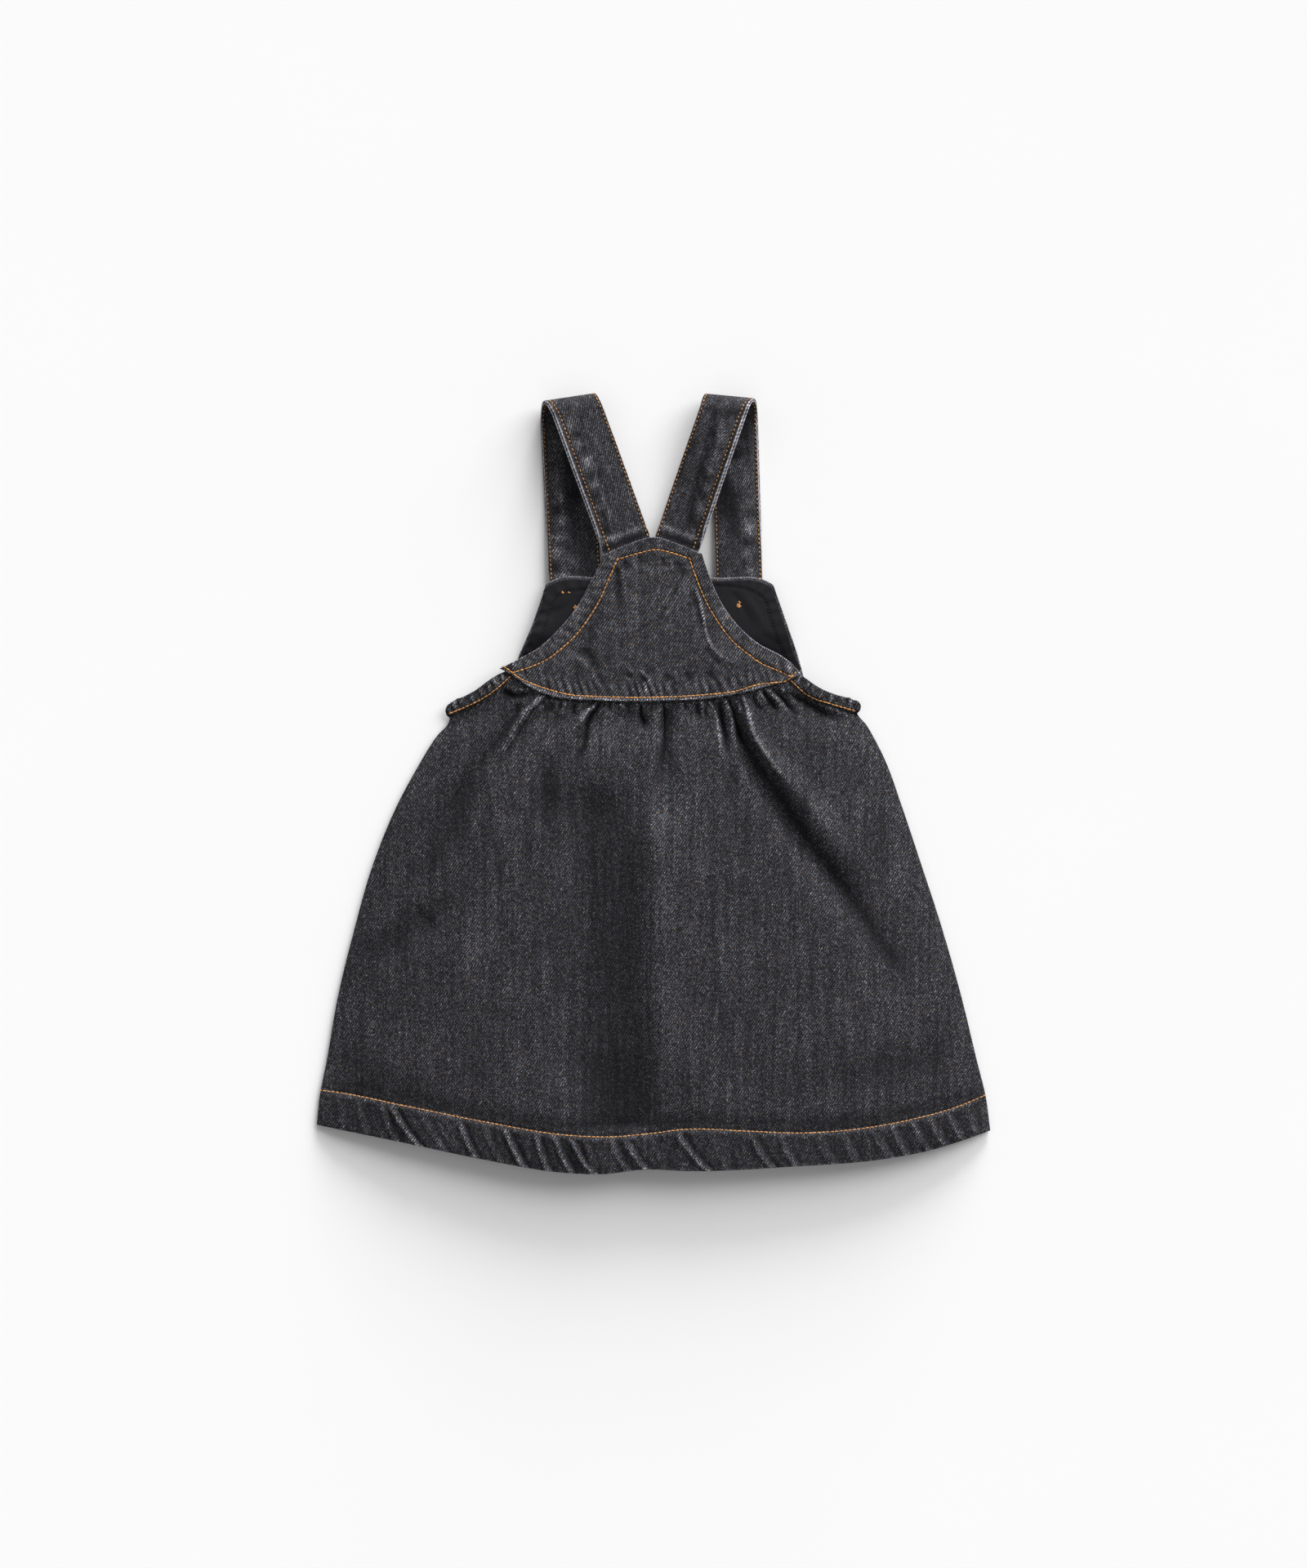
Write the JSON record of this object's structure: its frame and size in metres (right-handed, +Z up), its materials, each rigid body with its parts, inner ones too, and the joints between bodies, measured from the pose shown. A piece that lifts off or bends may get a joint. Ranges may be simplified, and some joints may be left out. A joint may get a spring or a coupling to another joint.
{
  "type": "denim pinafore dress",
  "caption": "Baby's washed black denim pinafore dress with a gathered skirt, curved back yoke, lined bib and buttoned straps, laid flat with its back up.",
  "frame": {"origin": "on the surface that the dress lies on, under the upper half of the skirt, on the underside of the front skirt", "axes": "+Y towards the straps along the length of the dress, +X across it to the right as seen from above, +Z up through the back of the dress"},
  "size_m": [0.4124, 0.4767, 0.0213],
  "materials": {
    "skirt_denim": "washed near-black denim twill",
    "yoke_denim": "washed near-black denim twill, puckered at its seams",
    "strap_denim": "doubled denim with whitish worn edges",
    "lining_cotton": "plain woven black cotton",
    "button": "satin",
    "thread_orange": "twisted topstitching thread",
    "thread_black": "fine sewing thread"
  },
  "bodies": {
    "root": {"skirt_back": "skirt_denim", "skirt_front": "skirt_denim", "underarm_band_left": "skirt_denim", "underarm_band_right": "skirt_denim", "yoke_back": "yoke_denim", "bib_front": "yoke_denim", "bib_lining": "lining_cotton", "strap_left": "strap_denim", "strap_right": "strap_denim", "button_left": "button", "button_right": "button"}
  },
  "joints": []
}
